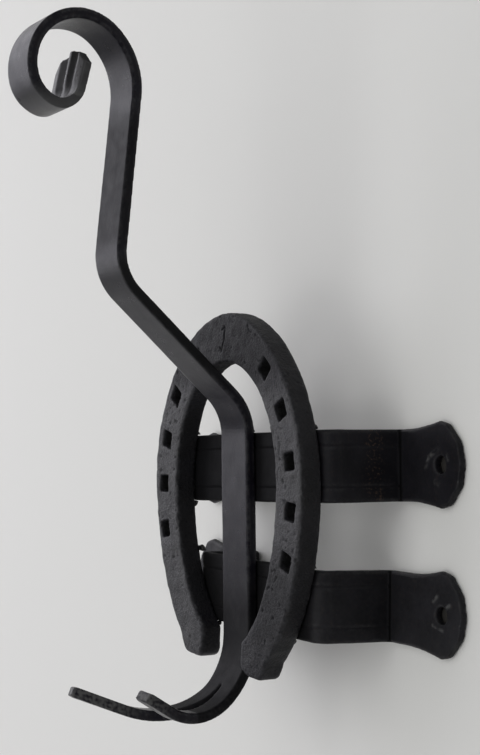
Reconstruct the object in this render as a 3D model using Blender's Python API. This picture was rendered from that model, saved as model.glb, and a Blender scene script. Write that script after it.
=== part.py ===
"""A wall-mounted tack hook: a horseshoe and a scrolled hook bar welded to two bridge straps.

Metres, +Z up. The wall is the plane Y = 0 and the hook stands out along -Y. The origin is on the
wall at the straps' centre, about midway between the four screw holes. Dimensions below are in
millimetres and are scaled by MM.
"""
import math

import bmesh
import bpy
from mathutils import Matrix, Vector

MM = 0.001
GAP = 0.3  # between pieces that touch

# Bridge straps: flat bar bent into a hat, with forged screw ends
STRAP_WIDTH = 26.4
STRAP_THICKNESS = 3.5
STRAP_EDGE_CHAMFER = 0.7
STRAP_SPACING = 48.5
FOOT_BEND_RADIUS = 2.75
SHOULDER_BEND_RADIUS = 4.5
LEFT_LEG_SPLAY = 20.0  # degrees; the right legs stand square
FLARE_START_X = 66.0
FLARE_END_X = 84.0
FLARE_WIDTH = 31.8
FLARE_POWER = 1.7
FLARE_THICKNESS = 2.6
END_SAGITTA = 11.0
END_CORNER = 1.2
SCREW_HOLE_X = 83.6
SCREW_HOLE_DIAMETER = 6.5
GROOVE_OFFSET = 7.5
GROOVE_HALF_WIDTH = 0.6
GROOVE_DEPTH = 0.5

# Each strap: name, height of its middle, tilt in degrees (right end up), wall to front of the raised
# part, outer faces of the left and the right shoulder, drops of the left and the right foot
STRAPS = (
    ("upper", STRAP_SPACING / 2, 1.2, 35.0, (-45.1, 60.6), (0.0, 0.0)),
    ("lower", -STRAP_SPACING / 2, -1.3, 34.5, (-38.1, 53.4), (2.0, 1.0)),
)
CARRY_LEAN = math.degrees(math.atan((STRAPS[0][3] - STRAPS[1][3]) / STRAP_SPACING))  # degrees

# Horseshoe: two half ellipses outside and two inside, joined at their widest level
SHOE_THICKNESS = 9.0
SHOE_CENTRE_X = -0.9
SHOE_TURN = 4.8  # degrees clockwise seen from the front
WIDEST_Z = 19.0
OUTER_HALF_WIDTH = 56.8
OUTER_RISE = 65.0
OUTER_DROP = 79.0
OUTER_TOE_POWER = 1.9
INNER_HALF_WIDTH = 38.5
INNER_RISE = 46.0
INNER_DROP = 64.0
HEEL_Z = -52.0
HEEL_SIDE_SHIFT = 2.0
HEEL_ROUNDING = 7.0
HEEL_INNER_ROUNDING = 12.0
HEEL_CORNER_INSET = 3.5
HEEL_RADII = (5.0, 4.0, 5.5, 4.0)  # left outer, left inner, right inner, right outer
SHOE_EDGE_BEVEL = 1.2
NAIL_HOLE_FRONT = 7.0
NAIL_HOLE_BACK = 4.0
NAIL_HOLE_HEEL_TURN = 0.7  # share of the outline's slope that a hole below the widest level takes
NAIL_HOLES = ((28.2, 63.9), (40.6, 49.5), (47.4, 31.4), (49.0, 13.3), (47.0, -5.1))

# Hook bar: flat bar bent in the plane X = BAR_CENTRE_X
BAR_CENTRE_X = 0.4
BAR_WIDTH = 20.0
BAR_THICKNESS = 4.0
BAR_EDGE_CHAMFER = 0.3
SLOT_WIDTH = 1.2
SLOT_ROOT = (-43.06, -59.0)  # Y, Z of the bar's centre line where the two prongs part
SLOT_ROOT_HEADING = 37.6  # degrees from straight up towards the wall
TONGUE_WIDTH = 28.0
TONGUE_THICKNESS = 3.0
TONGUE_CROWN = 7.0
FLUTE_DEPTH = 0.8
FLUTE_START = 0.4  # share of the flared length
TONGUE_TIP_START = 0.5
FLARED_BEND_SECTIONS = 15  # sections of the scroll's last bend over which the tongue widens
LEFT_SPLAY = 16.2
RIGHT_SPLAY = 10.6
SPLAY_RAMP = 9.0
PRONG_NARROWING = 0.88
PRONG_TIP_CHAMFER = 1.4
PRONG_TIP_SIZE = 0.85  # of the prong's section

# Weld beads
BEAD_LEG = 2.3
BEAD_RIPPLE = 0.1
BEAD_END_SHARE = 0.4  # of its leg, at its ends
BEAD_INSET = 2.0  # from the edge of what the bead holds
BEAD_SHOULDER_INSET = 2.0  # from the outer face of a strap's shoulder
BEAD_MIN_HALF_LENGTH = 2.2

SHOE_BACK_Y = -(STRAPS[0][3] + GAP - math.tan(math.radians(CARRY_LEAN)) * STRAP_SPACING / 2)

# The bar above the slot root, as straight runs (length) and bends (radius, degrees). A bend is
# positive when it turns the run towards the wall.
LOWER_SWEEP = ("bend", 31.0, -SLOT_ROOT_HEADING - CARRY_LEAN)
UPRIGHT_RUN = ("run", 76.3)
KNEE = ("bend", 22.0, -47.6 + CARRY_LEAN)
DIAGONAL_RUN = ("run", 54.9)
ELBOW = ("bend", 20.0, 53.8)
NECK_RUN = ("run", 56.3)
SCROLL = (("bend", 27.0, -55.0), ("bend", 19.6, -143.9), ("bend", 12.9, -61.6), ("bend", 6.6, -92.8))
BAR_MOVES = (LOWER_SWEEP, UPRIGHT_RUN, KNEE, DIAGONAL_RUN, ELBOW, NECK_RUN, *SCROLL)
TONGUE_LENGTH = 9.5
RIGHT_PRONG = (("bend", 23.5, 83.6), ("run", 13.2))
LEFT_PRONG = (("bend", 27.2, 37.4), ("bend", 34.6, 37.4), ("run", 19.8))
BEND_STEP = 4.0  # degrees between two sections of a bend


def clear_scene():
    for obj in list(bpy.data.objects):
        bpy.data.objects.remove(obj, do_unlink=True)


def finish_material(name, colour, roughness, metallic):
    material = bpy.data.materials.new(name)
    material.use_nodes = True
    shader = material.node_tree.nodes["Principled BSDF"]
    shader.inputs["Base Color"].default_value = (*colour, 1.0)
    shader.inputs["Roughness"].default_value = roughness
    shader.inputs["Metallic"].default_value = metallic
    return material


def add_mesh(name, bm, material, parent):
    """Makes a named object from bm, whose sizes are in millimetres."""
    bmesh.ops.recalc_face_normals(bm, faces=bm.faces)
    bmesh.ops.scale(bm, vec=(MM, MM, MM), verts=bm.verts)
    mesh = bpy.data.meshes.new(name)
    bm.to_mesh(mesh)
    bm.free()
    mesh.shade_smooth()
    mesh.set_sharp_from_angle(angle=math.radians(32))
    obj = bpy.data.objects.new(name, mesh)
    obj.parent = parent
    if material:
        mesh.materials.append(material)
    bpy.context.scene.collection.objects.link(obj)
    return obj


def cut(obj, cutter):
    """Cuts one object from another, and hides the cutter."""
    cutter.hide_render = True
    cutter.display_type = "WIRE"
    modifier = obj.modifiers.new(cutter.name, "BOOLEAN")
    modifier.operation = "DIFFERENCE"
    modifier.solver = "EXACT"
    modifier.object = cutter


def trace(start, heading, moves):
    """Centre-line sections of a bent bar: (first coordinate, second coordinate, heading in radians).

    A heading of 0 runs along the second coordinate, and a positive one leans to the first.
    """
    a, b = start
    angle = math.radians(heading)
    sections = [(a, b, angle)]
    for kind, *size in moves:
        if kind == "run":
            a += size[0] * math.sin(angle)
            b += size[0] * math.cos(angle)
            sections.append((a, b, angle))
            continue
        radius, degrees = size
        count = max(2, round(abs(degrees) / BEND_STEP))
        step = math.radians(degrees) / count
        chord = 2 * radius * math.sin(abs(step) / 2)
        for _ in range(count):
            a += chord * math.sin(angle + step / 2)
            b += chord * math.cos(angle + step / 2)
            angle += step
            sections.append((a, b, angle))
    return sections


def split_run(section, length, parts):
    """The sections that divide a straight run of this length after a section."""
    a, b, angle = section
    steps = [length * (i + 1) / parts for i in range(parts)]
    return [(a + s * math.sin(angle), b + s * math.cos(angle), angle) for s in steps]


def smooth_step(value):
    value = min(1.0, max(0.0, value))
    return value * value * (3 - 2 * value)


def add_loop(bm, points):
    return [bm.verts.new(point) for point in points]


def bridge(bm, first, second):
    count = len(first)
    for i in range(count):
        j = (i + 1) % count
        bm.faces.new((first[i], first[j], second[j], second[i]))


def cap(bm, loop, across):
    """Closes the end of a flat bar whose section has this many points along its front and its back."""
    last = 2 * across + 1
    for i in range(across - 1):
        bm.faces.new((loop[i], loop[i + 1], loop[last - i - 1], loop[last - i]))
    bm.faces.new(loop[across - 1 : across + 3])
    bm.faces.new((loop[last], loop[last + 1], loop[last + 2], loop[0]))


def crown(fraction, half_width, sagitta):
    """How far a rounded end reaches past its corners, at a fraction of its half width."""
    radius = (half_width**2 + sagitta**2) / (2 * sagitta)
    return math.sqrt(radius**2 - (fraction * half_width) ** 2) - (radius - sagitta)


# --- bridge straps -------------------------------------------------------------------------------

def rise_moves(rise, shoulder_x, splay):
    """A foot's flat run, and the two bends and the leg that lift the strap to its raised part."""
    turn = 90.0 - splay
    angle = math.radians(turn)
    radii = FOOT_BEND_RADIUS + SHOULDER_BEND_RADIUS
    leg_run = (rise - STRAP_THICKNESS - radii * (1 - math.cos(angle))) / math.sin(angle)
    reach = radii * math.sin(angle) + leg_run * math.cos(angle)
    flat_run = FLARE_START_X - raised_end(shoulder_x) - reach
    foot = ("bend", FOOT_BEND_RADIUS, -turn)
    shoulder = ("bend", SHOULDER_BEND_RADIUS, turn)
    return (("run", flat_run), foot, ("run", leg_run), shoulder)


def raised_end(shoulder_x):
    """How far the flat of the raised part reaches from the middle."""
    return abs(shoulder_x) - STRAP_THICKNESS / 2 - SHOULDER_BEND_RADIUS


def strap_sections(rise, shoulders_x):
    """The strap's centre line in the plane of X and Y, from its left end to its right end."""
    left_x, right_x = shoulders_x
    left_rise = rise_moves(rise, left_x, LEFT_LEG_SPLAY)
    right_rise = rise_moves(rise, right_x, 0.0)
    top_run = raised_end(left_x) + raised_end(right_x)
    moves = (*left_rise, ("run", top_run), *reversed(right_rise))
    foot_y = -STRAP_THICKNESS / 2
    middle = [(x, y, angle) for y, x, angle in trace((foot_y, -FLARE_START_X), 0.0, moves)]
    flare = FLARE_END_X - END_CORNER - FLARE_START_X
    ends = [FLARE_END_X] + [FLARE_END_X - END_CORNER - flare * i / 4 for i in range(4)]
    left = [(-x, foot_y, 0.0) for x in ends]
    right = [(x, foot_y, 0.0) for x in reversed(ends)]
    return left + middle + right


def strap_ring(section, end_sign, drop):
    """The strap's outline across a section. At an end it is rounded, and its corners are cut."""
    x, y, angle = section
    along = Vector((math.cos(angle), math.sin(angle), 0))
    outward = Vector((math.sin(angle), -math.cos(angle), 0))
    flare = max(0.0, (abs(x) - FLARE_START_X) / (FLARE_END_X - FLARE_START_X)) ** FLARE_POWER
    full_half = (STRAP_WIDTH + (FLARE_WIDTH - STRAP_WIDTH) * flare) / 2
    half_width = full_half - END_CORNER if end_sign else full_half
    thickness = STRAP_THICKNESS + (FLARE_THICKNESS - STRAP_THICKNESS) * flare
    back = -STRAP_THICKNESS / 2
    chamfer = STRAP_EDGE_CHAMFER
    on_foot = y > -STRAP_THICKNESS
    depth = 0.0 if on_foot else GROOVE_DEPTH
    groove = [GROOVE_OFFSET + GROOVE_HALF_WIDTH * side for side in (-1, 0, 1)]
    front = [(half_width - chamfer, 0.0), (groove[2], 0.0), (groove[1], depth), (groove[0], 0.0)]
    front = [(-z, d) for z, d in front] + [(0.0, 0.0)] + [(z, d) for z, d in reversed(front)]
    points = [(z, back + thickness - d) for z, d in front]
    points += [(half_width, back + thickness - chamfer), (half_width, back + chamfer)]
    points += [(z, back) for z, _ in reversed(front)]
    points += [(-half_width, back + chamfer), (-half_width, back + thickness - chamfer)]
    ring = []
    for z, out in points:
        reach = end_sign * crown(z / full_half, full_half, END_SAGITTA) if end_sign else 0.0
        ring.append(Vector((x, y, z - drop)) + out * outward + reach * along)
    return ring


def add_screw_hole(strap, side, x, z):
    hole = bmesh.new()
    place = Matrix.Translation((x, 0, z)) @ Matrix.Rotation(math.pi / 2, 4, "X")
    bmesh.ops.create_cone(
        hole,
        cap_ends=True,
        segments=20,
        radius1=SCREW_HOLE_DIAMETER / 2,
        radius2=SCREW_HOLE_DIAMETER / 2,
        depth=4 * STRAP_THICKNESS,
        matrix=place,
    )
    cut(strap, add_mesh(f"{strap.name}_{side}_screw_hole", hole, None, strap))


def build_strap(name, centre_z, tilt, rise, shoulders_x, drops, material, parent):
    bm = bmesh.new()
    sections = strap_sections(rise, shoulders_x)
    loops = []
    for i, section in enumerate(sections):
        end_sign = -1 if i == 0 else 1 if i == len(sections) - 1 else 0
        lowered = 1 + (section[1] + STRAP_THICKNESS / 2) / (rise - STRAP_THICKNESS)
        drop = drops[section[0] > 0] * lowered
        loops.append(add_loop(bm, strap_ring(section, end_sign, drop)))
    for first, second in zip(loops, loops[1:]):
        bridge(bm, first, second)
    cap(bm, loops[0], 9)
    cap(bm, loops[-1], 9)
    strap = add_mesh(f"{name}_strap", bm, material, parent)
    strap.location = (0, 0, centre_z * MM)
    strap.rotation_euler = (0, math.radians(-tilt), 0)
    add_screw_hole(strap, "left", -SCREW_HOLE_X, -drops[0])
    add_screw_hole(strap, "right", SCREW_HOLE_X, -drops[1])
    return strap


# --- horseshoe -----------------------------------------------------------------------------------

def half_width_at(z, half_width, rise, drop, toe_power):
    """Half width of one of the two outlines at a level of the shoe."""
    if z >= WIDEST_Z:
        share = min(1.0, (z - WIDEST_Z) / rise)
        return half_width * (1 - share**toe_power) ** (1 / toe_power)
    share = min(1.0, (WIDEST_Z - z) / drop)
    return half_width * math.sqrt(1 - share * share)


def heel_shift(z):
    return HEEL_SIDE_SHIFT * smooth_step((WIDEST_Z - z) / (WIDEST_Z - HEEL_Z))


def outer_point(angle):
    """A point of the outer outline. The angle goes from 0 at the right quarter to 90 at the toe."""
    c, s = math.cos(angle), math.sin(angle)
    power = 2 / OUTER_TOE_POWER if s > 0 else 1.0
    height = OUTER_RISE if s > 0 else OUTER_DROP
    x = OUTER_HALF_WIDTH * math.copysign(abs(c) ** power, c)
    z = WIDEST_Z + height * math.copysign(abs(s) ** power, s)
    return x + heel_shift(z), z


def inner_point(angle):
    c, s = math.cos(angle), math.sin(angle)
    height = INNER_RISE if s > 0 else INNER_DROP
    z = WIDEST_Z + height * s
    return INNER_HALF_WIDTH * c + heel_shift(z), z


def rounded_corner(before, corner, after, radius, count=5):
    """Points of an arc that rounds the corner between two straight edges."""
    corner = Vector(corner)
    first = (Vector(before) - corner).normalized()
    second = (Vector(after) - corner).normalized()
    half = first.angle(second) / 2
    centre = corner + (first + second).normalized() * (radius / math.sin(half))
    start = corner + first * (radius / math.tan(half)) - centre
    turn = start.angle_signed(corner + second * (radius / math.tan(half)) - centre)
    points = []
    for i in range(count + 1):
        spoke = start.copy()
        spoke.rotate(Matrix.Rotation(-turn * i / count, 2))
        points.append(tuple(centre + spoke))
    return points


def shoe_outline():
    """The outline, counterclockwise from the right heel round the toe to the left heel and back."""
    outer_end = math.asin((HEEL_Z + HEEL_ROUNDING - WIDEST_Z) / OUTER_DROP)
    inner_end = math.asin((HEEL_Z + HEEL_INNER_ROUNDING - WIDEST_Z) / INNER_DROP)
    outer_count, inner_count = 44, 40
    outer = [outer_end + (math.pi - 2 * outer_end) * i / outer_count for i in range(outer_count + 1)]
    inner = [inner_end + (math.pi - 2 * inner_end) * i / inner_count for i in range(inner_count + 1)]
    outer = [outer_point(angle) for angle in outer]
    inner = [inner_point(angle) for angle in inner]
    right_bottom = ((outer[0][0] - HEEL_CORNER_INSET, HEEL_Z), (inner[0][0], HEEL_Z))
    left_bottom = ((outer[-1][0] + HEEL_CORNER_INSET, HEEL_Z), (inner[-1][0], HEEL_Z))
    radii = HEEL_RADII
    left_heel = rounded_corner(outer[-1], left_bottom[0], left_bottom[1], radii[0])
    left_heel += rounded_corner(left_bottom[0], left_bottom[1], inner[-1], radii[1])
    right_heel = rounded_corner(inner[0], right_bottom[1], right_bottom[0], radii[2])
    right_heel += rounded_corner(right_bottom[1], right_bottom[0], outer[0], radii[3])
    return outer + left_heel + inner[::-1] + right_heel


def add_nail_hole(shoe, name, x, z):
    """A square hole that narrows to the back, turned to follow the branch."""
    slope = math.atan2(z - WIDEST_Z, abs(x) * (OUTER_RISE / OUTER_HALF_WIDTH) ** 2)
    turn = math.copysign(1, x) * slope * (1.0 if z > WIDEST_Z else NAIL_HOLE_HEEL_TURN)
    margin = 1.0
    taper = (NAIL_HOLE_FRONT - NAIL_HOLE_BACK) / SHOE_THICKNESS
    bm = bmesh.new()
    bmesh.ops.create_cone(
        bm,
        cap_ends=True,
        segments=4,
        radius1=(NAIL_HOLE_BACK - taper * margin) / math.sqrt(2),
        radius2=(NAIL_HOLE_FRONT + taper * margin) / math.sqrt(2),
        depth=SHOE_THICKNESS + 2 * margin,
        matrix=Matrix.Rotation(math.pi / 2, 4, "X") @ Matrix.Rotation(math.pi / 4, 4, "Z"),
    )
    bmesh.ops.rotate(bm, matrix=Matrix.Rotation(-turn, 3, "Y"), verts=bm.verts)
    bmesh.ops.translate(bm, vec=(x, -SHOE_THICKNESS / 2, z), verts=bm.verts)
    cut(shoe, add_mesh(name, bm, None, shoe))


def build_horseshoe(material, parent):
    bm = bmesh.new()
    face = bm.faces.new([bm.verts.new((x, 0, z)) for x, z in shoe_outline()])
    front = bmesh.ops.extrude_face_region(bm, geom=[face])["geom"]
    moved = [item for item in front if isinstance(item, bmesh.types.BMVert)]
    bmesh.ops.translate(bm, vec=(0, -SHOE_THICKNESS, 0), verts=moved)
    shoe = add_mesh("horseshoe", bm, material, parent)
    shoe.location = (SHOE_CENTRE_X * MM, SHOE_BACK_Y * MM, 0)
    shoe.rotation_euler = (math.radians(CARRY_LEAN), math.radians(SHOE_TURN), 0)
    edges = shoe.modifiers.new("worn_edges", "BEVEL")
    edges.width = SHOE_EDGE_BEVEL * MM
    edges.segments = 2
    edges.limit_method = "ANGLE"
    edges.angle_limit = math.radians(50)
    for side, sign in (("left", -1), ("right", 1)):
        for number, (x, z) in enumerate(NAIL_HOLES, 1):
            add_nail_hole(shoe, f"nail_hole_{side}_{number}", sign * x, z)
    return shoe


# --- hook bar ------------------------------------------------------------------------------------

def bar_across(half_width, half_thick):
    """The bar's section as (across, through) pairs: the front, the right edge, the back, the left edge."""
    slot = SLOT_WIDTH / 2 / (BAR_WIDTH / 2)
    row = (-0.95, -0.6, -0.3, -slot, slot, 0.3, 0.6, 0.95)
    edge = half_thick - BAR_EDGE_CHAMFER
    points = [(share * half_width, half_thick) for share in row]
    points += [(half_width, edge), (half_width, -edge)]
    points += [(share * half_width, -half_thick) for share in reversed(row)]
    points += [(-half_width, -edge), (-half_width, edge)]
    return points


RIDGES = (0, 1, -1, 1, 1, -1, 1, 0)  # flutes of the tongue, across the bar


def bar_ring(section, half_width, half_thick, flute=0.0, reach=0.0):
    y, z, angle = section
    along = Vector((0, math.sin(angle), math.cos(angle)))
    forward = Vector((0, -math.cos(angle), math.sin(angle)))
    ridges = (*RIDGES, 0, 0, *reversed(RIDGES), 0, 0)
    ring = []
    for (across, through), ridge in zip(bar_across(half_width, half_thick), ridges):
        centre = Vector((BAR_CENTRE_X + across, y, z))
        past_end = reach * crown(across / half_width, half_width, TONGUE_CROWN)
        ring.append(centre + (through + flute * ridge) * forward + past_end * along)
    return ring


def prong_ring(section, slope, x, half_width, half_thick, side):
    """One prong's section: half of the bar's section, moved sideways and turned with the splay."""
    y, z, angle = section
    along = Vector((slope, math.sin(angle), math.cos(angle))).normalized()
    top = Vector((0, math.cos(angle), -math.sin(angle)))
    sideways = along.cross(top).normalized()
    if sideways.x < 0:
        sideways = -sideways
    slot = SLOT_WIDTH / 2
    middle = side * (BAR_WIDTH / 2 + slot) / 2
    reach = (BAR_WIDTH / 2 - slot) / 2
    ring = []
    for across, through in half_section(bar_across(BAR_WIDTH / 2, half_thick), side):
        share = (across - middle) / reach
        ring.append(Vector((x, y, z)) + share * half_width * sideways + through * top)
    return ring


def half_section(ring, side):
    """The half of a bar section that goes on as the left (-1) or right (1) prong."""
    if side < 0:
        return [*ring[0:4], *ring[14:20]]
    return [*ring[4:14]]


def add_prong(bm, root_loop, side, splay, moves):
    """Runs one prong on from its half of the slot root, and closes it with a smaller tip."""
    sections = trace(SLOT_ROOT, SLOT_ROOT_HEADING - 180.0, moves[:-1])
    sections += split_run(sections[-1], moves[-1][1] - PRONG_TIP_CHAMFER, 3)
    sections += split_run(sections[-1], PRONG_TIP_CHAMFER, 1)
    start_half = (BAR_WIDTH - SLOT_WIDTH) / 4
    x = BAR_CENTRE_X + side * (BAR_WIDTH + SLOT_WIDTH) / 4
    travelled = 0.0
    loop = half_section(root_loop, side)
    for i, (before, section) in enumerate(zip(sections, sections[1:])):
        step = math.hypot(section[0] - before[0], section[1] - before[1])
        travelled += step
        slope = side * math.tan(math.radians(splay) * smooth_step(travelled / SPLAY_RAMP))
        narrowing = 1 - (1 - PRONG_NARROWING) * i / (len(sections) - 2)
        size = PRONG_TIP_SIZE if section is sections[-1] else 1.0
        x += step * slope
        half_width = start_half * narrowing * size
        half_thick = BAR_THICKNESS / 2 * size
        following = add_loop(bm, prong_ring(section, slope, x, half_width, half_thick, side))
        bridge(bm, loop, following)
        loop = following
    bm.faces.new(loop)


def build_hook_bar(material, parent):
    sections = trace(SLOT_ROOT, SLOT_ROOT_HEADING, BAR_MOVES)
    tongue = split_run(sections[-1], TONGUE_LENGTH, 4)
    flared = len(tongue) + FLARED_BEND_SECTIONS
    sections += tongue
    bm = bmesh.new()
    loops = []
    for i, section in enumerate(sections):
        share = max(0.0, (i - (len(sections) - 1 - flared)) / flared)
        half_width = (BAR_WIDTH + (TONGUE_WIDTH - BAR_WIDTH) * share) / 2
        half_thick = (BAR_THICKNESS + (TONGUE_THICKNESS - BAR_THICKNESS) * share) / 2
        flute = FLUTE_DEPTH * smooth_step(2 * (share - FLUTE_START))
        reach = smooth_step(2 * (share - TONGUE_TIP_START))
        loops.append(add_loop(bm, bar_ring(section, half_width, half_thick, flute, reach)))
    for first, second in zip(loops, loops[1:]):
        bridge(bm, first, second)
    cap(bm, loops[-1], 8)
    root = loops[0]
    bm.faces.new((root[3], root[4], root[13], root[14]))
    add_prong(bm, root, -1, LEFT_SPLAY, LEFT_PRONG)
    add_prong(bm, root, 1, RIGHT_SPLAY, RIGHT_PRONG)
    return add_mesh("hook_bar", bm, material, parent)


# --- weld beads ----------------------------------------------------------------------------------

def build_bead(name, centre, half_length, upward, phase, material, parent):
    """A rippled quarter-round bead in the corner of a strap's edge and the back of what it carries."""
    stations, spokes = 9, 4
    bm = bmesh.new()
    loops = []
    for i in range(stations):
        along = 2 * i / (stations - 1) - 1
        taper = max(BEAD_END_SHARE, math.sqrt(1 - along**4))
        leg = BEAD_LEG * taper * (1 + BEAD_RIPPLE * math.sin(5 * along + phase))
        corner = Vector((centre[0] + along * half_length, centre[1], centre[2]))
        points = [corner]
        for j in range(spokes + 1):
            angle = math.pi / 2 * j / spokes
            points.append(corner + leg * Vector((0, math.cos(angle), upward * math.sin(angle))))
        loops.append(add_loop(bm, points))
    for first, second in zip(loops, loops[1:]):
        bridge(bm, first, second)
    bm.faces.new(loops[0])
    bm.faces.new(loops[-1])
    return add_mesh(name, bm, material, parent)


def branch_span(side, level):
    """The lowest and highest X of a branch at a height above the wall origin."""
    turn = math.radians(SHOE_TURN)
    z = level
    for _ in range(4):
        outer = side * half_width_at(z, OUTER_HALF_WIDTH, OUTER_RISE, OUTER_DROP, OUTER_TOE_POWER)
        inner = side * half_width_at(z, INNER_HALF_WIDTH, INNER_RISE, INNER_DROP, 2.0)
        middle = (outer + inner) / 2 + heel_shift(z)
        z = (level + middle * math.sin(turn)) / math.cos(turn)
    x = SHOE_CENTRE_X + middle * math.cos(turn) + z * math.sin(turn)
    half = abs(outer - inner) / 2
    return x - half, x + half


def bead_span(side, level, shoulders_x):
    """Middle and half length of a bead: as long as the raised part and what it carries overlap."""
    low, high = BAR_CENTRE_X - BAR_WIDTH / 2, BAR_CENTRE_X + BAR_WIDTH / 2
    if side:
        low, high = branch_span(side, level)
    low = max(low + BEAD_INSET, shoulders_x[0] + BEAD_SHOULDER_INSET)
    high = min(high - BEAD_INSET, shoulders_x[1] - BEAD_SHOULDER_INSET)
    return (low + high) / 2, max(BEAD_MIN_HALF_LENGTH, (high - low) / 2)


def build_beads(material, parent):
    for strap, centre_z, tilt, rise, shoulders_x, _ in STRAPS:
        slope = math.tan(math.radians(tilt))
        for edge, upward in (("top", 1), ("bottom", -1)):
            level = centre_z + upward * (STRAP_WIDTH / 2 + GAP)
            for member, side in (("left_branch", -1), ("bar", 0), ("right_branch", 1)):
                x, half = bead_span(side, level, shoulders_x)
                z = level + x * slope + upward * half * abs(slope)
                name = f"weld_{strap}_{member}_{edge}"
                phase = centre_z + 2.0 * side
                build_bead(name, (x, -rise, z), half, upward, phase, material, parent)


def main():
    clear_scene()
    root = bpy.data.objects.new("wall_origin", None)
    bpy.context.scene.collection.objects.link(root)
    shoe_iron = finish_material("worn_shoe_iron_black", (0.035, 0.035, 0.038), 0.62, 0.35)
    bar_paint = finish_material("satin_black_paint", (0.045, 0.045, 0.05), 0.45, 0.2)
    strap_paint = finish_material("rubbed_black_paint", (0.02, 0.019, 0.018), 0.4, 0.3)
    weld_paint = finish_material("painted_weld", (0.025, 0.024, 0.023), 0.55, 0.3)
    for strap in STRAPS:
        build_strap(*strap, strap_paint, root)
    build_horseshoe(shoe_iron, root)
    build_hook_bar(bar_paint, root)
    build_beads(weld_paint, root)


main()
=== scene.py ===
import math

import bpy
import numpy as np
from mathutils import Matrix, Vector, noise
from mathutils.bvhtree import BVHTree


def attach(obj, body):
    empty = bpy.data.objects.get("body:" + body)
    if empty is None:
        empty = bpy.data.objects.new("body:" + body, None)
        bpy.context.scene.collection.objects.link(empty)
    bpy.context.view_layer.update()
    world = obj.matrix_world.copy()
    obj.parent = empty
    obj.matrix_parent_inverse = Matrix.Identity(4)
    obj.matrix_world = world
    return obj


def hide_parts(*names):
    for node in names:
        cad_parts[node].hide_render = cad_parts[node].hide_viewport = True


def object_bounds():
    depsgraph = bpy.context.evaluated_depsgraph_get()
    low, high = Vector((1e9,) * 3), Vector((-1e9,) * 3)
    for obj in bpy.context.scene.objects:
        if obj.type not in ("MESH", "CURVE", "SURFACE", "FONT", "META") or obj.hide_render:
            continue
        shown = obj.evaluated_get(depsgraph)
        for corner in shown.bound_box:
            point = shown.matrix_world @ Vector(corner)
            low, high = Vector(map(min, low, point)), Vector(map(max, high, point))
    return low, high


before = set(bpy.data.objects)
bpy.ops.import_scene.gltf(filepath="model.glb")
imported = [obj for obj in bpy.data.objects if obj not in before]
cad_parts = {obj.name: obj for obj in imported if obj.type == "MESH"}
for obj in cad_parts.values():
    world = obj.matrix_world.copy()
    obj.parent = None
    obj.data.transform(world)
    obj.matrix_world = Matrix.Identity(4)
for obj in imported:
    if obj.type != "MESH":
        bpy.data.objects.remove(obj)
cad_bounds = [list(corner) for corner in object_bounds()]
CAD_LOW, CAD_HIGH = (np.array(corner) for corner in cad_bounds)

MM = 0.001

# Camera: off to the right, a little above the middle of the straps and looking slightly up. Metres
CAMERA_AT = (0.5486, -0.3528, 0.0357)
CAMERA_TURN = 60.0  # degrees from straight at the wall, towards -X
CAMERA_PITCH = 2.12  # degrees above level
CAMERA_ROLL = -0.17  # degrees
CAMERA_LENS = 77.84  # millimetres, as is the sensor
SENSOR = 36.0

# Size of the even mesh that each kind of piece is remade with
SHOE_VOXEL = 0.5 * MM
BAR_VOXEL = 0.55 * MM
STRAP_VOXEL = 0.5 * MM
WELD_VOXEL = 0.35 * MM
EXPOSURE_ROUNDS = 3


# --- geometry helpers ----------------------------------------------------------------------------

def link(obj):
    bpy.context.scene.collection.objects.link(obj)
    return obj


def evaluated_copy(obj):
    """The object's mesh with its modifiers applied."""
    graph = bpy.context.evaluated_depsgraph_get()
    return bpy.data.meshes.new_from_object(obj.evaluated_get(graph), depsgraph=graph)


def apply_modifiers(obj):
    mesh = evaluated_copy(obj)
    old = obj.data
    obj.modifiers.clear()
    obj.data = mesh
    bpy.data.meshes.remove(old)


def fine_copy(node, name, voxel, smoothing):
    """A dense, evenly meshed copy of a CAD node, its arrises softened by a few rounds of smoothing."""
    obj = link(bpy.data.objects.new(name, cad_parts[node].data.copy()))
    obj.data.materials.clear()
    remesh = obj.modifiers.new("even_mesh", "REMESH")
    remesh.mode = "VOXEL"
    remesh.voxel_size = voxel
    remesh.use_smooth_shade = True
    apply_modifiers(obj)
    if smoothing:
        soften = obj.modifiers.new("soften", "SMOOTH")
        soften.iterations = smoothing
        soften.factor = 0.5
        apply_modifiers(obj)
    obj.data.shade_smooth()
    return obj


def points_of(mesh):
    points = np.empty(len(mesh.vertices) * 3, np.float32)
    mesh.vertices.foreach_get("co", points)
    return points.reshape(-1, 3).astype(np.float64)


def normals_of(mesh):
    normals = np.empty(len(mesh.vertices) * 3, np.float32)
    mesh.vertices.foreach_get("normal", normals)
    return normals.reshape(-1, 3).astype(np.float64)


def set_points(mesh, points):
    mesh.vertices.foreach_set("co", points.astype(np.float32).ravel())
    mesh.update()


def noise_at(points, size, seed):
    """Smooth noise of about -1 to 1 at each point, with lumps of this size in metres."""
    offset = Vector((17.3 * seed, 5.1 * seed, 9.7 * seed))
    return np.array([noise.noise(Vector(p) / size + offset) for p in points])


def smooth_step(values, low, high):
    share = np.clip((values - low) / (high - low), 0, 1)
    return share * share * (3 - 2 * share)


def roughen(obj, layers, extra=None):
    """Moves each point along its normal by layers of noise (size, depth, seed) and by extra heights."""
    mesh = obj.data
    points, normals = points_of(mesh), normals_of(mesh)
    height = np.zeros(len(points)) if extra is None else extra(points, normals)
    for size, depth, seed in layers:
        height += depth * noise_at(points, size, seed)
    set_points(mesh, np.clip(points + normals * height[:, None], CAD_LOW, CAD_HIGH))


def span(values, low, low_full, high_full, high):
    """1 between low_full and high_full, fading to 0 at low and at high."""
    return smooth_step(values, low, low_full) * (1 - smooth_step(values, high_full, high))


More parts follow.
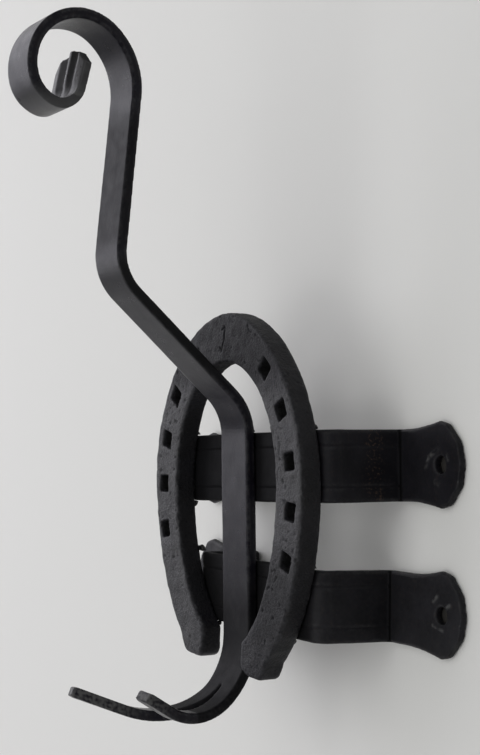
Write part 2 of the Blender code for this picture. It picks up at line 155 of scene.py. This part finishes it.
def enclosed(obj, reach):
    """1 where a ray along the normal meets the same piece again within reach, as inside a nail hole."""
    mesh = obj.data
    tree = BVHTree.FromObject(obj, bpy.context.evaluated_depsgraph_get())
    lift = 0.1 * MM
    hits = [
        tree.ray_cast(Vector(point) + lift * Vector(normal), Vector(normal), reach)[0] is not None
        for point, normal in zip(points_of(mesh), normals_of(mesh))
    ]
    return np.array(hits, float)


def line_distance(points, axes, start, end):
    """Distance of each point, seen along the third axis, to the line from start to end."""
    flat = points[:, axes]
    start, end = np.array(start) * MM, np.array(end) * MM
    along = np.clip((flat - start) @ (end - start) / ((end - start) @ (end - start)), 0, 1)
    return np.linalg.norm(flat - start - along[:, None] * (end - start), axis=1)


def groove(distance, half_width):
    """1 on the line, falling to 0 at its half width."""
    return 1 - smooth_step(distance, 0, half_width)


def pits(points, size, seed, share):
    """Scattered pits, 1 at their deepest, over about this share of the surface."""
    return smooth_step(noise_at(points, size, seed), 1 - 1.6 * share, 1.1 - 1.2 * share)


def attribute(obj, name, values):
    layer = obj.data.attributes.new(name, "FLOAT", "POINT")
    layer.data.foreach_set("value", np.asarray(values, np.float32))


def edge_exposure(mesh):
    """How far each point stands out from its smoothed surroundings: high on arrises, low in grooves."""
    points, normals = points_of(mesh), normals_of(mesh)
    edges = np.empty(len(mesh.edges) * 2, np.int32)
    mesh.edges.foreach_get("vertices", edges)
    edges = edges.reshape(-1, 2)
    count = np.bincount(edges.ravel(), minlength=len(points))[:, None]
    smoothed = points
    for _ in range(EXPOSURE_ROUNDS):
        total = np.zeros_like(points)
        for axis in range(3):
            total[:, axis] = np.bincount(edges[:, 0], smoothed[edges[:, 1], axis], len(points))
            total[:, axis] += np.bincount(edges[:, 1], smoothed[edges[:, 0], axis], len(points))
        smoothed = total / np.maximum(count, 1)
    return ((points - smoothed) * normals).sum(axis=1)


# --- material helpers ----------------------------------------------------------------------------

class Nodes:
    """A short way to write a material's node tree."""

    def __init__(self, name):
        self.material = bpy.data.materials.new(name)
        self.material.use_nodes = True
        self.tree = self.material.node_tree
        self.shader = self.tree.nodes["Principled BSDF"]
        self.place = self.add("ShaderNodeTexCoord").outputs["Object"]

    def add(self, kind, **settings):
        node = self.tree.nodes.new(kind)
        for key, value in settings.items():
            setattr(node, key, value)
        return node

    def plug(self, value, socket):
        if isinstance(value, bpy.types.NodeSocket):
            self.tree.links.new(value, socket)
        else:
            socket.default_value = value

    def noise(self, size, detail, rough):
        """Noise of 0 to 1, with lumps of this size in metres."""
        mapping = self.add("ShaderNodeMapping")
        self.plug(self.place, mapping.inputs["Vector"])
        mapping.inputs["Scale"].default_value = [1 / size] * 3
        texture = self.add("ShaderNodeTexNoise")
        texture.inputs["Scale"].default_value = 1.0
        texture.inputs["Detail"].default_value = detail
        texture.inputs["Roughness"].default_value = rough
        self.plug(mapping.outputs[0], texture.inputs["Vector"])
        return texture.outputs["Fac"]

    def spots(self, size):
        texture = self.add("ShaderNodeTexVoronoi")
        texture.inputs["Scale"].default_value = 1 / size
        self.plug(self.place, texture.inputs["Vector"])
        return texture.outputs["Distance"]

    def maths(self, operation, a, b=0.0):
        node = self.add("ShaderNodeMath", operation=operation)
        self.plug(a, node.inputs[0])
        self.plug(b, node.inputs[1])
        return node.outputs[0]

    def ramp(self, value, low, high, out_low=0.0, out_high=1.0):
        node = self.add("ShaderNodeMapRange")
        limits = {"From Min": low, "From Max": high, "To Min": out_low, "To Max": out_high}
        for key, number in limits.items():
            node.inputs[key].default_value = number
        self.plug(value, node.inputs["Value"])
        return node.outputs[0]

    def mix(self, share, a, b):
        node = self.add("ShaderNodeMix", data_type="RGBA")
        self.plug(share, node.inputs["Factor"])
        for colour, socket in ((a, node.inputs[6]), (b, node.inputs[7])):
            if isinstance(colour, tuple):
                colour = (*colour, 1.0)
            self.plug(colour, socket)
        return node.outputs[2]

    def value_of(self, name):
        return self.add("ShaderNodeAttribute", attribute_name=name).outputs["Fac"]

    def bump(self, height, depth):
        node = self.add("ShaderNodeBump")
        node.inputs["Distance"].default_value = depth
        node.inputs["Strength"].default_value = 1.0
        self.plug(height, node.inputs["Height"])
        return node.outputs[0]

    def finish(self, colour, roughness, normal, specular):
        self.plug(colour, self.shader.inputs["Base Color"])
        self.plug(roughness, self.shader.inputs["Roughness"])
        self.plug(normal, self.shader.inputs["Normal"])
        self.shader.inputs["Specular IOR Level"].default_value = specular
        self.shader.inputs["Metallic"].default_value = 0.0
        return self.material


def paint(name, dark, light, rub, wear, roughness, grain, grain_depth, specular):
    """Old black paint on iron: patchy tone, rubbed arrises, a fine grain and a few rust-brown specks.

    Values on the mesh make it lighter, for real wear and for painted light, or darker, for painted shade,
    by region.
    """
    nodes = Nodes(name)
    patches = nodes.ramp(nodes.noise(18 * MM, 4.0, 0.6), 0.35, 0.65)
    tone = nodes.mix(patches, dark, light)
    scuffed = nodes.ramp(nodes.value_of("exposure"), 0.3, 1.0, 0.0, wear)
    broken = nodes.ramp(nodes.noise(3 * MM, 4.0, 0.7), 0.42, 0.62)
    tone = nodes.mix(nodes.maths("MULTIPLY", scuffed, broken), tone, rub)
    # Lighter where the mesh's values say so: real wear, and painted light
    tone = nodes.mix(nodes.value_of("wear_and_painted_light"), tone, WEAR_AND_PAINTED_LIGHT_TONE)
    speckle = nodes.ramp(nodes.noise(1.1 * MM, 2.0, 0.6), 0.55, 0.68)
    rusty = nodes.maths("MULTIPLY", speckle, nodes.value_of("rust"))
    tone = nodes.mix(rusty, tone, RUST)
    dots = nodes.ramp(nodes.spots(5 * MM), 0.02, 0.06, 0.35, 0.0)
    tone = nodes.mix(dots, tone, rub)
    dull = nodes.ramp(nodes.noise(6 * MM, 4.0, 0.6), 0.3, 0.7, roughness - 0.05, roughness + 0.07)
    crevice = nodes.ramp(nodes.value_of("exposure"), -1.0, -0.2, 0.3, 0.0)
    # Painted shade: darker and rougher where the mesh's values say so
    painted_shade = nodes.value_of("painted_shade")
    tone = nodes.mix(painted_shade, tone, DARKENED)
    dull = nodes.maths("ADD", dull, nodes.maths("ADD", crevice, nodes.maths("MULTIPLY", painted_shade, 0.4)))
    fine = nodes.noise(grain, 4.0, 0.65)
    return nodes.finish(tone, dull, nodes.bump(fine, grain_depth), specular)


# Lighter tone for real wear and painted light; darker tone for painted shade
WEAR_AND_PAINTED_LIGHT_TONE = (0.09, 0.09, 0.088)
DARKENED = (0.001, 0.001, 0.001)
RUST = (0.06, 0.04, 0.03)
shoe_paint = paint(
    "shoe_paint", (0.004, 0.0038, 0.0058), (0.013, 0.0124, 0.0168), (0.07, 0.07, 0.076),
    0.6, 0.43, 1.0 * MM, 0.6 * MM, 0.3,
)
bar_paint = paint(
    "bar_paint", (0.0065, 0.006, 0.0095), (0.0105, 0.0098, 0.0145), (0.05, 0.05, 0.053),
    0.55, 0.31, 0.6 * MM, 0.06 * MM, 0.125,
)
strap_paint = paint(
    "strap_paint", (0.007, 0.0068, 0.0085), (0.013, 0.0127, 0.0155), (0.05, 0.05, 0.05),
    0.25, 0.4, 0.8 * MM, 0.05 * MM, 0.11,
)
weld_paint = paint(
    "weld_paint", (0.006, 0.006, 0.006), (0.011, 0.010, 0.010), (0.05, 0.046, 0.042),
    0.5, 0.42, 0.8 * MM, 0.1 * MM, 0.4,
)


def dress(obj, node, material, exposure_scale, rust=0.12, wear_and_painted_light=0.0, painted_shade=0.0):
    """Gives a finished mesh its wear, rust, painted light and painted shade values and material, and its
    place in the frame.
    """
    exposure = edge_exposure(obj.data)
    attribute(obj, "exposure", np.clip(exposure / exposure_scale, -1, 1))
    attribute(obj, "rust", np.broadcast_to(rust, exposure.shape))
    attribute(obj, "wear_and_painted_light", np.broadcast_to(wear_and_painted_light, exposure.shape))
    attribute(obj, "painted_shade", np.broadcast_to(painted_shade, exposure.shape))
    obj.data.materials.append(material)
    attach(obj, "root")
    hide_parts(node)


# --- pieces --------------------------------------------------------------------------------------

XZ = (0, 2)
# The chisel mark on the toe, as a chain of points (X, Z) in millimetres, and creases beside the nail holes
TOE_MARK = ((1.2, 77.4), (3.4, 78.4), (3.0, 73.4), (0.6, 69.0), (-0.6, 70.4))
CREASES = (((43.2, 34.9), (40.2, 13.1)), ((40.2, 13.1), (35.8, -6.0)))
MARK_HALF_WIDTH = 0.75 * MM
MARK_DEPTH = 0.65 * MM
CREASE_HALF_WIDTH = 1.1 * MM
CREASE_DEPTH = 0.3 * MM
# Scrapes and burrs round the right screw holes: start and end (X, Z), half width, in millimetres
SCRAPES = {
    "upper_strap": (
        ((75.6, 25.0), (77.6, 28.8), 0.7), ((77.6, 28.8), (82.2, 31.4), 0.8),
        ((80.8, 19.8), (82.4, 19.4), 0.9), ((88.0, 27.5), (87.4, 29.6), 0.5),
        ((94.2, 18.6), (93.8, 20.2), 0.5),
    ),
    "lower_strap": (
        ((79.4, -22.5), (81.4, -20.6), 0.7), ((86.9, -23.8), (88.4, -23.2), 0.8),
        ((79.0, -30.8), (84.3, -32.4), 0.6), ((94.6, -31.4), (94.0, -30.0), 0.5),
    ),
}
BURR_HEIGHT = 0.35 * MM
RUST_BAND = (-18.5, -11.5)  # Y of the rusty band down the upper strap's right leg, in millimetres
RUST_BAND_FADE = 2


def shoe_relief(points, normals):
    """Toe mark, creases, hammer dents and pits, which are deepest on the front face."""
    front = smooth_step(-normals[:, 1], 0.6, 0.9)
    mark = np.zeros(len(points))
    for start, end in zip(TOE_MARK, TOE_MARK[1:]):
        mark = np.maximum(mark, groove(line_distance(points, XZ, start, end), MARK_HALF_WIDTH))
    crease = np.zeros(len(points))
    for start, end in CREASES:
        crease = np.maximum(crease, groove(line_distance(points, XZ, start, end), CREASE_HALF_WIDTH))
    broken = smooth_step(noise_at(points, 7 * MM, 9), -0.3, 0.3)
    return (
        -front * (MARK_DEPTH * mark + CREASE_DEPTH * crease * broken)
        - (0.08 + 0.28 * front) * MM * pits(points, 2.2 * MM, 6, 0.35)
        - (0.06 + 0.2 * front) * MM * pits(points, 1.2 * MM, 7, 0.3)
        + front * 0.3 * MM * noise_at(points, 5 * MM, 10)
    )


NAIL_HOLE_REACH = 8.5 * MM


def build_shoe():
    shoe = fine_copy("horseshoe", "worn_horseshoe", SHOE_VOXEL, 4)
    dents = ((12 * MM, 0.18 * MM, 1), (4 * MM, 0.1 * MM, 2))
    grain = ((1.8 * MM, 0.07 * MM, 3), (0.9 * MM, 0.04 * MM, 8))
    roughen(shoe, (*dents, *grain), shoe_relief)
    points, normals = points_of(shoe.data), normals_of(shoe.data)
    x, z = points[:, 0], points[:, 2]

    # Painted light: lighter on the front faces of both branches, in streaks
    left = 1 - smooth_step(x, -30 * MM, -10 * MM)
    right = smooth_step(x, 10 * MM, 25 * MM) * smooth_step(z, -25 * MM, 5 * MM)
    below_toe = 1 - smooth_step(z, 45 * MM, 62 * MM)
    front = smooth_step(-normals[:, 1], 0.5, 0.8)
    streaks = 0.6 + 0.4 * noise_at(points * (1.0, 1.0, 0.3), 2.5 * MM, 12)
    light = 0.34 * (left + right) * below_toe * front * streaks

    # Painted shade: darker in the nail holes, on the toe, on the right heel and on the outer side
    toe = 0.45 * smooth_step(z, 48 * MM, 68 * MM)
    right_heel = 0.4 * smooth_step(x, 12 * MM, 28 * MM) * (1 - smooth_step(z, -18 * MM, 4 * MM))
    outer_side = 0.5 * smooth_step(normals[:, 0], 0.6, 0.9)
    dark = np.maximum.reduce([enclosed(shoe, NAIL_HOLE_REACH), toe, right_heel, outer_side])
    dress(shoe, "horseshoe", shoe_paint, 0.07 * MM, wear_and_painted_light=light, painted_shade=dark)


SCROLL_CENTRE = (-107.0 * MM, 171.0 * MM)  # Y, Z
TONGUE_REACH = 12 * MM
FRONT_OF_UPRIGHT_Y = -62 * MM
FRONT_OF_NECK_Y = -100 * MM


def bar_relief(points, normals):
    """The cut inner faces and the hammered tips of the prongs are coarse."""
    prong = smooth_step(-points[:, 2], 58 * MM, 63 * MM)
    inner = prong * smooth_step(np.abs(normals[:, 0]), 0.5, 0.8)
    tip = prong * smooth_step(-points[:, 1], 88 * MM, 96 * MM)
    coarse = noise_at(points, 1.4 * MM, 31) + 0.6 * noise_at(points, 0.8 * MM, 32)
    dents = noise_at(points, 4 * MM, 33)
    return inner * 0.14 * MM * coarse + tip * (0.22 * MM * dents + 0.06 * MM * coarse)


def build_bar():
    bar = fine_copy("hook_bar", "scrolled_hook_bar", BAR_VOXEL, 1)
    roughen(bar, ((25 * MM, 0.1 * MM, 4), (6 * MM, 0.03 * MM, 5)), bar_relief)
    points = points_of(bar.data)
    x, y, z = points.T
    diagonal = span(z, 52 * MM, 66 * MM, 98 * MM, 106 * MM)

    # Lighter in faint streaks and on a rubbed patch of the upright, real wear; painted light on the
    # prongs, the scroll's underside, the tongue and the diagonal run
    rubbed = smooth_step(x, 2 * MM, 9 * MM) * span(z, -48 * MM, -36 * MM, -14 * MM, 2 * MM)
    rubbed *= smooth_step(noise_at(points, 9 * MM, 34), -0.4, 0.5)
    prongs = smooth_step(-y, 70 * MM, 85 * MM) * (z < 0)
    scroll = smooth_step(-y, 98 * MM, 108 * MM) * (1 - smooth_step(z, 155 * MM, 165 * MM))
    scroll *= z > 100 * MM
    tongue = np.hypot(y - SCROLL_CENTRE[0], z - SCROLL_CENTRE[1]) < TONGUE_REACH
    granular = smooth_step(noise_at(points, 1.2 * MM, 35), -0.4, 0.3)
    streaks = smooth_step(noise_at(points * (1.0, 0.25, 0.12), 0.9 * MM, 36), 0.2, 0.7)
    light = 0.14 * rubbed + prongs * granular + 0.75 * scroll
    light = light + 0.5 * tongue + 0.27 * diagonal + 0.06 * streaks

    # Painted shade: darker on the neck, on the foot and on the right edge of the diagonal run
    neck = span(z, 102 * MM, 112 * MM, 150 * MM, 162 * MM) * (y > FRONT_OF_NECK_Y)
    foot = (1 - smooth_step(z, -34 * MM, -10 * MM)) * (y > FRONT_OF_UPRIGHT_Y)
    edge = diagonal * smooth_step(normals_of(bar.data)[:, 0], 0.6, 0.9)
    dark = np.maximum.reduce([0.5 * neck, 0.7 * foot, 0.8 * edge])
    dress(bar, "hook_bar", bar_paint, 0.06 * MM, wear_and_painted_light=light, painted_shade=dark)


FOOT_BEND_REACH_X = 68 * MM
FOOT_BEND_REACH_Y = -8 * MM
RIGHT_LEG_X = 50 * MM


def strap_rust(node, points):
    """A little everywhere, and a band of it down the upper strap's right leg."""
    rust = np.full(len(points), 0.1)
    if node == "upper_strap":
        low, high = RUST_BAND
        limits = (low - RUST_BAND_FADE, low + RUST_BAND_FADE, high - RUST_BAND_FADE, high + RUST_BAND_FADE)
        band = span(points[:, 1], *(limit * MM for limit in limits))
        rust += 0.75 * band * (points[:, 0] > RIGHT_LEG_X)
    return rust


def strap_shade(points, normals):
    """Painted shadow: darker behind the shoe; painted shade: darker in the bends between legs and feet."""
    across = np.abs(points[:, 0])
    foot_bend = span(np.abs(normals[:, 0]), 0.15, 0.35, 0.8, 0.95)
    foot_bend *= (points[:, 1] > FOOT_BEND_REACH_Y) & (normals[:, 1] < -0.2) & (across < FOOT_BEND_REACH_X)
    behind_shoe = 0.7 * (1 - smooth_step(across, 42 * MM, 50 * MM))
    return np.maximum(behind_shoe, 0.9 * foot_bend)


def build_strap(node, seed):
    def marks(points):
        total = np.zeros(len(points))
        for start, end, half_width in SCRAPES[node]:
            distance = line_distance(points, XZ, start, end)
            total = np.maximum(total, groove(distance, 1.6 * half_width * MM))
        return total

    def burrs(points, normals):
        return BURR_HEIGHT * marks(points) * smooth_step(-normals[:, 1], 0.5, 0.9)

    strap = fine_copy(node, f"forged_{node}", STRAP_VOXEL, 1)
    roughen(strap, ((20 * MM, 0.12 * MM, seed), (5 * MM, 0.05 * MM, seed + 1)), burrs)
    points, normals = points_of(strap.data), normals_of(strap.data)
    light = 0.8 * marks(points) * smooth_step(noise_at(points, 1.5 * MM, seed + 2), -0.3, 0.5)
    light *= smooth_step(-normals[:, 1], 0.5, 0.9)
    if node == "lower_strap":
        light = np.maximum(light, 0.06 + 0.04 * noise_at(points, 1.5 * MM, seed + 3))
    rust = strap_rust(node, points)
    dark = strap_shade(points, normals)
    dress(strap, node, strap_paint, 0.06 * MM, rust, light, dark)


def build_welds():
    for seed, node in enumerate(sorted(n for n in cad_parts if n.startswith("weld_")), 20):
        bead = fine_copy(node, f"bead_{node[5:]}", WELD_VOXEL, 3)
        roughen(bead, ((3 * MM, 0.5 * MM, seed), (1.2 * MM, 0.15 * MM, seed + 1)))
        dress(bead, node, weld_paint, 0.06 * MM)


build_shoe()
build_bar()
build_strap("upper_strap", 11)
build_strap("lower_strap", 14)
build_welds()


# --- stage, light and camera ---------------------------------------------------------------------

def plane(name, corners):
    mesh = bpy.data.meshes.new(name)
    mesh.from_pydata(corners, [], [range(len(corners))])
    obj = link(bpy.data.objects.new(name, mesh))
    return obj


def stage_paint(name, colour, one_sided):
    nodes = Nodes(name)
    nodes.shader.inputs["Base Color"].default_value = (*colour, 1.0)
    nodes.shader.inputs["Roughness"].default_value = 0.9
    nodes.shader.inputs["Specular IOR Level"].default_value = 0.1
    if one_sided:
        output = nodes.tree.nodes["Material Output"]
        clear = nodes.add("ShaderNodeBsdfTransparent")
        choose = nodes.add("ShaderNodeMixShader")
        behind = nodes.add("ShaderNodeNewGeometry").outputs["Backfacing"]
        nodes.plug(behind, choose.inputs[0])
        nodes.plug(nodes.shader.outputs[0], choose.inputs[1])
        nodes.plug(clear.outputs[0], choose.inputs[2])
        nodes.plug(choose.outputs[0], output.inputs["Surface"])
    return nodes.material


WALL_Y = 0.4 * MM
FLOOR_Z = -0.5
STAGE_HALF_WIDTH = 1.6
WALL_TOP = 1.2
FLOOR_REACH = 1.8


def rectangle(name, low, high, corner_of):
    """A stage plane with corners at corner_of(across, along), over the spans from low to high."""
    across = (-STAGE_HALF_WIDTH, STAGE_HALF_WIDTH, STAGE_HALF_WIDTH, -STAGE_HALF_WIDTH)
    return plane(name, [corner_of(a, b) for a, b in zip(across, (low, low, high, high))])


wall = rectangle("wall", FLOOR_Z, WALL_TOP, lambda x, z: (x, WALL_Y, z))
wall.data.materials.append(stage_paint("wall_white", (0.79, 0.788, 0.758), True))
# The wall neither shades the hook nor throws light back on it
wall.visible_diffuse = False
wall.visible_shadow = False
floor = rectangle("floor", -FLOOR_REACH, FLOOR_REACH, lambda x, y: (x, y, FLOOR_Z))
floor.data.materials.append(stage_paint("floor_white", (0.78, 0.775, 0.77), False))

# Near the middle of each screw hole, how far from it to look, and the disc of painted shade behind it
HOLE_X = 83.6 * MM
HOLE_REACH = 4.5 * MM
DISC_RADIUS = 4.3 * MM
DISC_CORNERS = 32
# Painted shade: a dark disc stands for the shade on the wall seen through each screw hole
hole_shade_paint = stage_paint("painted_hole_shade", (0.035, 0.033, 0.03), True)


def screw_hole(strap, side):
    """Middle (X, Z) of the screw hole in one end of a strap, from the part's own mesh."""
    points = points_of(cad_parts[strap].data)
    reach = side * points[:, 0]
    on_wall = points[:, 1] > -WALL_Y
    end = points[on_wall & (reach > HOLE_X - HOLE_REACH) & (reach < HOLE_X + HOLE_REACH)]
    middle = (end[:, 2].min() + end[:, 2].max()) / 2
    rim = end[np.abs(end[:, 2] - middle) < HOLE_REACH]
    return rim[:, 0].mean(), rim[:, 2].mean()


def shade_disc_behind_hole(strap, side):
    """A dark disc of painted shade on the wall behind a strap's screw hole, seen from the front only."""
    x, z = screw_hole(strap, side)
    turns = np.linspace(0, 2 * math.pi, DISC_CORNERS, endpoint=False)
    rim = [(x + DISC_RADIUS * math.cos(a), WALL_Y / 2, z + DISC_RADIUS * math.sin(a)) for a in turns]
    disc = plane(f"wall_hole_{strap}_{'right' if side > 0 else 'left'}", rim)
    disc.data.materials.append(hole_shade_paint)


for strap in ("upper_strap", "lower_strap"):
    for side in (-1, 1):
        shade_disc_behind_hole(strap, side)


def area_light(name, at, towards, size, power, colour=(1, 1, 1)):
    """A soft rectangular light. Places and sizes in metres, power in watts."""
    light = bpy.data.lights.new(name, "AREA")
    light.shape = "RECTANGLE"
    light.size, light.size_y = size
    light.energy = power
    light.color = colour
    obj = link(bpy.data.objects.new(name, light))
    obj.location = at
    obj.rotation_euler = (Vector(towards) - Vector(at)).to_track_quat("-Z", "Y").to_euler()


WINDOW_TINT = (0.98, 0.965, 1.04)
area_light("window", (-1.25, -0.72, 0.58), (0, 0, 0.03), (1.25, 1.5), 11.5, WINDOW_TINT)
area_light("low", (0.1, -1.3, -0.44), (0, 0, -0.05), (1.2, 0.5), 3.0)
area_light("room", (0.5, -1.8, 0.7), (0, 0, 0.05), (2.4, 1.8), 10.5)

world = bpy.data.worlds.new("room_light")
bpy.context.scene.world = world
world.use_nodes = True
background = world.node_tree.nodes["Background"]
background.inputs["Color"].default_value = (0.97, 0.98, 1.0, 1.0)
background.inputs["Strength"].default_value = 0.3
bpy.context.scene.view_settings.view_transform = "Standard"

camera_data = bpy.data.cameras.new("camera")
camera_data.lens = CAMERA_LENS
camera_data.sensor_width = SENSOR
camera_data.clip_start = 0.01
camera = link(bpy.data.objects.new("camera", camera_data))
camera.location = CAMERA_AT
turns = (CAMERA_TURN, "Z"), (90 + CAMERA_PITCH, "X"), (CAMERA_ROLL, "Z")
turn, pitch, roll = (Matrix.Rotation(math.radians(angle), 3, axis) for angle, axis in turns)
camera.rotation_euler = (turn @ pitch @ roll).to_euler()
bpy.context.scene.camera = camera
